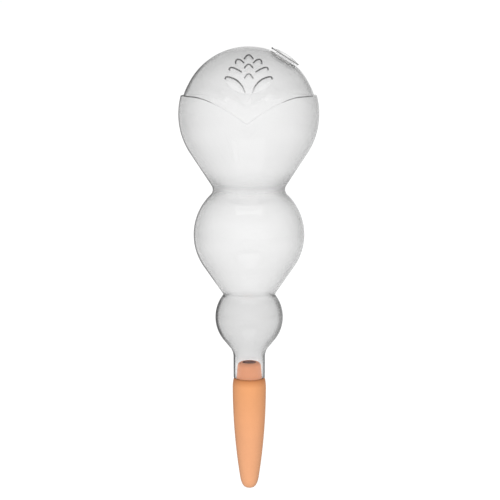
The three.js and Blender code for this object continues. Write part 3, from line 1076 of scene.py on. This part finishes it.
def pale_floor():
    bm = bmesh.new()
    bmesh.ops.create_grid(bm, x_segments=1, y_segments=1, size=FLOOR_HALF_SIZE)
    bmesh.ops.translate(bm, verts=bm.verts, vec=(0, 0, (TIP_Z - FLOOR_GAP) * MM))
    mesh = bpy.data.meshes.new("floor")
    bm.to_mesh(mesh)
    bm.free()
    floor = bpy.data.objects.new("floor", mesh)
    bpy.context.scene.collection.objects.link(floor)
    paper, shader, place = new_finish("floor_paper")
    shader.inputs["Base Color"].default_value = FLOOR_TONE
    shader.inputs["Roughness"].default_value = FLOOR_ROUGHNESS
    shader.inputs["Specular IOR Level"].default_value = 0.0
    x, y = (place.node("ShaderNodeSeparateXYZ", output=k, Vector=place) for k in (0, 1))
    squared = x * x + y * y + NOT_ZERO
    sideways = place.maths("DIVIDE", x * x, squared)
    far = place.node("ShaderNodeMapRange", Value=squared, From_Min=EVEN_SQUARED, From_Max=DIM_SQUARED)
    glow = 1 - far * sideways * (1 - SIDE_SHARE)
    feed(place.node("ShaderNodeCombineColor", Red=glow, Green=glow, Blue=glow), shader, "Emission Color")
    shader.inputs["Emission Strength"].default_value = FLOOR_GLOW
    mesh.materials.append(paper)
    floor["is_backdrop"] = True


pale_floor()
print("floor at z in mm:", TIP_Z - FLOOR_GAP)

# %% [markdown]
# Clear plastic shows what is round it, so the surround matters more than any lamp. It is white behind the
# object, a little brighter in front and grey at the sides and overhead. Soft panels then light the clay. The
# front and back ones are hidden from reflection and refraction, so that the bulbs don't show them as white
# squares.

# %% Surround and lights
BACKDROP, FRONT, SIDES = 1.03, 1.2, 0.72
GLOBE_AIM, SPIKE_AIM = (0, 0, 0.05), (0, 0, 0.0)


def studio_surround():
    """White behind the object, a bright front and grey sides, by the square of the direction's Y."""
    world = bpy.data.worlds.new("surround")
    world.use_nodes = True
    bpy.context.scene.world = world
    tree = world.node_tree
    direction = Wire(tree, tree.nodes.new("ShaderNodeTexCoord").outputs["Generated"])
    depth = direction.node("ShaderNodeSeparateXYZ", output=1, Vector=direction)
    behind = direction.maths("GREATER_THAN", depth, 0.0)
    far = behind * (BACKDROP - FRONT) + (FRONT - SIDES)
    background = tree.nodes["Background"]
    background.inputs["Color"].default_value = (1, 1, 1, 1)
    feed(depth * depth * far + SIDES, background, "Strength")


def soft_panel(name, place, aim, size, power, mirrored=True):
    light = bpy.data.lights.new(name, "AREA")
    light.shape = "RECTANGLE"
    light.size, light.size_y = size
    light.energy = power
    panel = bpy.data.objects.new(name, light)
    panel.location = place
    panel.rotation_euler = (Vector(aim) - Vector(place)).to_track_quat("-Z", "Y").to_euler()
    panel.visible_camera = False
    panel.visible_glossy = mirrored
    panel.visible_transmission = mirrored
    bpy.context.scene.collection.objects.link(panel)


studio_surround()
soft_panel("overhead", (0.0, -0.5, 1.3), GLOBE_AIM, (1.2, 0.8), 2.0)
soft_panel("front", (-0.05, -1.2, 0.35), SPIKE_AIM, (0.8, 0.8), 24.0, mirrored=False)
soft_panel("back", (0.3, 1.2, 0.35), SPIKE_AIM, (1.4, 0.8), 22.0, mirrored=False)
print("panels:", [light.name for light in bpy.data.lights])

# %% [markdown]
# The camera was worked out from the outline of the bulbs: almost level with the dome and looking slightly
# down. Its distance is a choice, and the other values were fitted to go with it. Cycles stops after 8
# see-through layers, and a line of sight through the filler meets more than that, so the limit is raised.
# Without this the filler turns dark.

# %% Camera
CAMERA_DISTANCE = 0.9
CAMERA_HEIGHT = 0.225
CAMERA_SIDE = 0.00086
CAMERA_PITCH = 8.8795
CAMERA_ROLL = 0.1
CAMERA_LENS, SENSOR_WIDTH = 101.25, 36.0
CLEAR_LAYERS = 32


def photo_camera():
    camera = bpy.data.cameras.new("camera")
    camera.lens = CAMERA_LENS
    camera.sensor_width = SENSOR_WIDTH
    taker = bpy.data.objects.new("camera", camera)
    taker.location = (CAMERA_SIDE, -CAMERA_DISTANCE, CAMERA_HEIGHT)
    taker.rotation_euler = (math.radians(90 - CAMERA_PITCH), math.radians(CAMERA_ROLL), 0)
    bpy.context.scene.collection.objects.link(taker)
    bpy.context.scene.camera = taker


photo_camera()
bpy.context.scene.view_settings.view_transform = "Standard"
bpy.context.scene.cycles.transparent_max_bounces = CLEAR_LAYERS
print("camera at", tuple(round(value, 4) for value in bpy.context.scene.camera.location))

# %% [markdown]
# Last, the box of the dressed part is measured and printed under the imported model's box, so the print
# shows at a glance whether a piece has grown past the frame it was made for.

# %% Print the boxes and finish
boxes = {"cad": cad_box, "visual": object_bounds()}
for key, box in boxes.items():
    print(key, "box in mm:", [[round(value / MM, 2) for value in corner] for corner in box])
